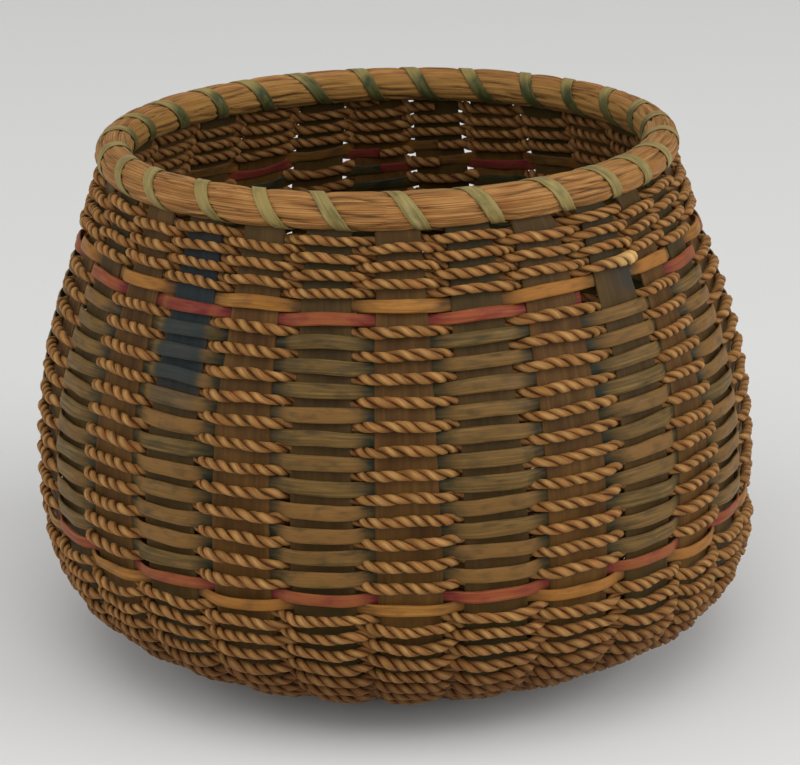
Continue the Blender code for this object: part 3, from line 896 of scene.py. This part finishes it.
def splint_tube(strand, downs, seed, height_mm, over=2.3, behind=1.0, part=None, inked=True):
    path = strand_path(strand, downs, SPLINT_SPACING, over * MM, behind * MM, 1.1)
    angle, level, off, wave = path
    level = level + ROW_DRIFT * drift(angle, level)
    if part is not None:
        kept = (angle > part[0]) & (angle < part[1])
        angle, level, off, wave = angle[kept], level[kept], off[kept], wave[kept]
    off = off * (1 + 0.12 * wander(angle * WALL_RADIUS, seed + 4, 90 * MM))
    own = wander(angle * WALL_RADIUS, seed, 37 * MM)
    middle = place(angle, level + 0.18 * MM * own, off)
    out, up = square_to(middle, outward(angle, level))
    run = length_along(middle)
    height = splint_height(height_mm, run, angle, level, wave, seed + 1)
    edge = 0.14 * wander(run, seed + 2, 26 * MM)[:, None]
    rings = flat_rings(
        middle, out + edge * up, up - edge * out, BASE_WEAVER_THICKNESS, height, SPLINT_SIDES, 0.75
    )
    showing = np.round((angle - stake_angle(strand)) / (2 * STAKE_PITCH)).astype(int)
    showing = showing - showing.min()
    faded = np.random.default_rng(seed).uniform(0, 1, showing.max() + 1)[showing]
    stain = ink_at(angle, level)
    tone = 0.85 * faded * rising(wave, -0.5, 0.2) * (1 - stain)
    tuck = np.maximum(rising(wave, 0.55, -0.5), 0 if inked else 0.75 * stain)
    return {
        "rings": rings,
        "along": run,
        "around": np.linspace(0, 2 * height_mm * MM, SPLINT_SIDES + 1),
        "values": {
            "tuck": tuck[:, None],
            "tone": tone[:, None],
            "green_and_shade": BASE_GREEN_AND_SHADE,
            "ink": (0.92 * stain * inked)[:, None],
        },
    }


# %% [markdown]
# The upper red band has lost the length over one stake, so it is made as two tubes that
# end beside it.

# %% Flat splints and bands
gap_start = stake_angle(BROKEN_STAKE - 1) + TURN + 0.45 * STAKE_PITCH
gap_end = stake_angle(BROKEN_STAKE + 1) + TURN - 0.30 * STAKE_PITCH
red_row = [
    splint_tube(1, [UPPER_RED], 331, 3.3, part=(-math.inf, gap_start), inked=False),
    splint_tube(1, [UPPER_RED], 331, 3.3, part=(gap_end, math.inf), inked=False),
]
green_rows = splint_tube(1, MIDDLE_SPLINTS, 301, 3.65)
natural_row = splint_tube(0, [UPPER_NATURAL], 321, 3.5)
low_red_row = splint_tube(1, [LOWER_RED], 341, 2.9)
low_natural_row = splint_tube(0, [LOWER_NATURAL], 351, 2.9)
woven("green_splint_rows", [green_rows], green_finish, "middle_green_splint")
woven("upper_natural_row", [natural_row], natural_finish, "upper_natural_band")
woven("upper_red_row", red_row, red_finish, "upper_red_band")
woven("lower_red_row", [low_red_row], red_finish, "lower_red_band")
woven("lower_natural_row", [low_natural_row], natural_finish, "lower_natural_band")

# %% [markdown]
# ## The base
# Wide flat splints fill the base between the heel and the hub. The last ones lie on the
# floor.

# %% Base splints
BASE_SPLINT_MM = BASE_PITCH / MM - 0.4
for strand, label in ((0, "even"), (1, "odd")):
    tube = splint_tube(strand, BASE_ROWS[strand::2], 361 + strand, BASE_SPLINT_MM, 1.15, 1.15)
    tube["rings"][..., 2] = np.maximum(tube["rings"][..., 2], 0.0)
    woven(f"base_row_over_{label}", [tube], ash, f"base_splint_over_{label}_stakes")

# %% [markdown]
# ## The lashing's path
# One flat splint is bound round the rim in twenty-seven turns. Outside it slants a little,
# and inside it slants more, because it has to travel on to the next gap. The turns are
# even, but for a few right of the front that the weaver set wider apart. The path is
# worked out first, because the rim bulges between the turns.

# %% Where the lashing runs
LASHING_TURNS = 27
FIRST_TURN, WIDE_PLACE, WIDE_REACH = 3.4, 33.0, 14.0      # degrees
FRONT_TURN = 7      # the number of the turn at FIRST_TURN
OUTER_ADVANCE = 6.0      # degrees from under the rim to its top
lashing_step = 360 / LASHING_TURNS
lashing_at = FIRST_TURN - lashing_step * (np.arange(LASHING_TURNS + 1) - FRONT_TURN)
lashing_at = lashing_at + 4.0 * np.exp(-(((lashing_at - WIDE_PLACE) / WIDE_REACH) ** 2))
lashing_at = lashing_at + 0.9 * np.sin(np.radians(lashing_at) * 9)


def lashing_angle(number, share):
    """Share runs from 0 under the rim once round to 1."""
    here, after = lashing_at[number], lashing_at[number + 1]
    half = OUTER_ADVANCE / 2
    beside = [half, half * 0.7, -half * 0.5, -half, after - here + half]
    return np.radians(here + np.interp(share, [0, 0.12, 0.38, 0.5, 1], beside))


print("Degrees between turns:", np.round(np.abs(np.diff(lashing_at)).min(), 1), "or more")

# %% [markdown]
# ## The rim
# A round bundle of split fibres, in an outer and an inner half that hold the stakes' tips
# between them. It swells between the turns of the lashing, and cracks come and go along
# it: each is a line that winds along the rim and opens only here and there.

# %% The rim's skin
RIM_SECTION = 4.55 * MM
RIM_STEPS, RIM_SIDES, FLAT_POINTS = 900, 40, 8
CRACKS = 12
SWELL, PINCH = 0.055, 0.03      # shares of the section, between and under the turns


def swell_at(angle, share):
    nearest = np.full((RIM_STEPS, RIM_SIDES), 9.0)
    for number in range(LASHING_TURNS):
        away = (angle - lashing_angle(number, share) + math.pi) % TURN - math.pi
        nearest = np.minimum(nearest, np.abs(away))
    nearest = nearest * RIM_RADIUS / MM
    return SWELL * rising(nearest, 1.5, 6.0) - PINCH * rising(nearest, 3.6, 1.8)


def cracks_at(angle, turn, seed):
    chance = np.random.default_rng(seed)
    crack = np.zeros((RIM_STEPS, RIM_SIDES))
    for number in range(CRACKS):
        waves = chance.integers(2, 30, 5)
        phases = chance.uniform(0, TURN, 5)
        winding = sum(0.10 * np.sin(wave * angle + phase) for wave, phase in zip(waves[:2], phases))
        line = (number + 0.5) * math.pi / CRACKS + winding
        slow = zip(waves[2:] // 2 + 5, phases[2:])
        opened = sum(np.sin(wave * angle + phase) for wave, phase in slow) / 1.6
        wide = 0.055 + 0.03 * np.sin(phases[0])
        crack = crack + np.clip(opened, 0, 1) * np.exp(-(((turn - line) / wide) ** 2))
    return np.clip(crack, 0, 1)


# %% [markdown]
# A half is round on its skin and flat where it meets the other one. The skin swells, has
# cracks and is a little lumpy.

# %% Rim bundle
CRACK_DEPTH, LUMP, SPLIT_GAP = 0.45 * MM, 0.10 * MM, 0.06 * MM
off_out, off_up = side_at(0.0)[2:]
angle = (np.arange(RIM_STEPS) * TURN / RIM_STEPS)[:, None]
turn = np.linspace(0, math.pi, RIM_SIDES)[None]
for half, node in ((1, "rim_outer_hoop"), (-1, "rim_inner_hoop")):
    swell = swell_at(angle, 0.5 - half * turn / TURN)
    crack = cracks_at(angle, turn, 7 + half)
    lumps = np.sin(9 * turn + 3 * np.sin(5 * angle)) + np.sin(15 * turn + 4 * np.sin(3 * angle))
    reach = RIM_SECTION * (1 + swell) - CRACK_DEPTH * crack + LUMP * lumps
    gap = half * SPLIT_GAP
    down, off = -reach * np.cos(turn), half * reach * np.sin(turn) + gap
    flat_down = np.linspace(down[:, -1], down[:, 0], FLAT_POINTS + 2, axis=1)[:, 1:-1]
    down = np.concatenate([down, flat_down], 1)
    off = np.concatenate([off, np.full(flat_down.shape, gap)], 1)
    # The cracks carry painted shade in the rim's finish
    groove_shade = np.concatenate([0.85 * crack, 0 * flat_down], 1)
    # Painted shade on the side that faces into the basket
    inner_side_shade = 0.65 * rising(-off / MM, 0.5, 3.5)
    radius = RIM_RADIUS + off * off_out + down * slope[0, 0]
    height = RIM_HEIGHT + off * off_up + down * slope[0, 1]
    rings = point_at(radius, angle, height)
    if half == -1:
        rings, groove_shade, inner_side_shade = rings[:, ::-1], groove_shade[:, ::-1], inner_side_shade[:, ::-1]
    tube = {
        "rings": rings,
        "along": RIM_RADIUS * angle[:, 0],
        "around": np.linspace(0, 24 * MM, rings.shape[1] + 1),
        "values": {"groove_shade": groove_shade, "inner_side_shade": inner_side_shade},
    }
    woven(node.replace("hoop", "bundle"), [tube], rim_finish, node, closed=True)

# %% [markdown]
# ## The lashing
# The splint follows its path just off the rim. Its ends meet under the rim at the right.

# %% Lashing
LASHING_WIDTH, LASHING_THICKNESS, LASHING_LIFT = 3.6 * MM, 0.45 * MM, 0.22 * MM
TURN_POINTS = 48
share = np.arange(TURN_POINTS) / TURN_POINTS
angle = np.concatenate([lashing_angle(number, share) for number in range(LASHING_TURNS)])
share = np.tile(share, LASHING_TURNS)
reach = RIM_SECTION * 0.985 + LASHING_LIFT
down, off = reach * np.cos(share * TURN), reach * np.sin(share * TURN)
radius = RIM_RADIUS + off * off_out + down * slope[0, 0]
height = RIM_HEIGHT + off * off_up + down * slope[0, 1]
middle = point_at(radius, angle, height)
out, up = square_to(middle, middle - point_at(RIM_RADIUS, angle, RIM_HEIGHT))
run = length_along(middle)
width = LASHING_WIDTH * (1 + 0.08 * wander(run, 411, 30 * MM))
inside = rising(np.abs(share - 0.75), 0.24, 0.10)[:, None]
faded = np.random.default_rng(5).uniform(0, 0.8, LASHING_TURNS)
tube = {
    "rings": flat_rings(middle, out, up, LASHING_THICKNESS, width, 12, 0.45),
    "along": run,
    "around": np.linspace(0, 9 * MM, 13),
    "values": {"tuck": 0.8 * inside, "tone": np.repeat(faded, TURN_POINTS)[:, None], "ink": 0.0},
}
woven("rim_lashing_turns", [tube], lashing_finish, "rim_lashing")

# %% [markdown]
# ## Floor and light
# The floor is a pale sheet that curves up behind the object. Its far edge is pulled
# straight up, and a bevel makes the corner round.

# %% Floor and backdrop
bpy.ops.object.select_all(action="DESELECT")
bpy.ops.mesh.primitive_plane_add(size=9.0, location=(0.0, 1.0, 0.0))
floor = bpy.context.object
floor.name = "floor"
bpy.ops.object.mode_set(mode="EDIT")
bpy.ops.mesh.select_mode(type="EDGE")
bpy.ops.mesh.select_all(action="DESELECT")
shape = bmesh.from_edit_mesh(floor.data)
for edge in shape.edges:
    edge.select_set(all(vertex.co.y > 0 for vertex in edge.verts))
bmesh.update_edit_mesh(floor.data)
bpy.ops.mesh.extrude_region_move(TRANSFORM_OT_translate={"value": (0.0, 0.0, 3.0)})
bpy.ops.object.mode_set(mode="OBJECT")
rounding = floor.modifiers.new("rounding", "BEVEL")
rounding.width = 0.8
rounding.segments = 16
bpy.ops.object.modifier_apply(modifier="rounding")
floor.data.shade_smooth()
floor_finish = new_finish("pale_paper")
paper = floor_finish.node_tree.nodes["Principled BSDF"]
paper.inputs["Base Color"].default_value = colour("#dbdbda")
paper.inputs["Roughness"].default_value = 0.9
floor.data.materials.append(floor_finish)
print("The floor has", len(floor.data.polygons), "faces")

# %% [markdown]
# Broad soft lamps stand at both sides, with weaker ones in front and above, and the sky
# is even. They stand far off, so that the light hardly changes across the floor.

# %% Light
world = bpy.data.worlds.new("even_sky")
bpy.context.scene.world = world
world.use_nodes = True
world.node_tree.nodes["Background"].inputs["Color"].default_value = (1.0, 1.0, 1.0, 1.0)
world.node_tree.nodes["Background"].inputs["Strength"].default_value = 0.36


def lamp(name, size, power, position):
    data = bpy.data.lights.new(name, "AREA")
    data.size = size
    data.energy = power
    stand = bpy.data.objects.new(name, data)
    bpy.context.scene.collection.objects.link(stand)
    stand.location = position
    stand.rotation_euler = (LOOK_AT - Vector(position)).to_track_quat("-Z", "Y").to_euler()
    print(name, "gives", power, "watts")


lamp("soft_front", 3.2, 42.0, (0.4, -3.2, 2.1))
lamp("soft_overhead", 2.2, 28.0, (0.0, -1.4, 2.4))
lamp("soft_right", 2.8, 86.0, (3.4, -1.2, 1.6))
lamp("soft_left", 2.8, 52.0, (-3.4, -1.2, 1.6))

# %% [markdown]
# ## The last settings
# Colours are shown as they are written, without a film curve.

# %% The end
bpy.context.scene.view_settings.view_transform = "Standard"
bpy.context.view_layer.update()
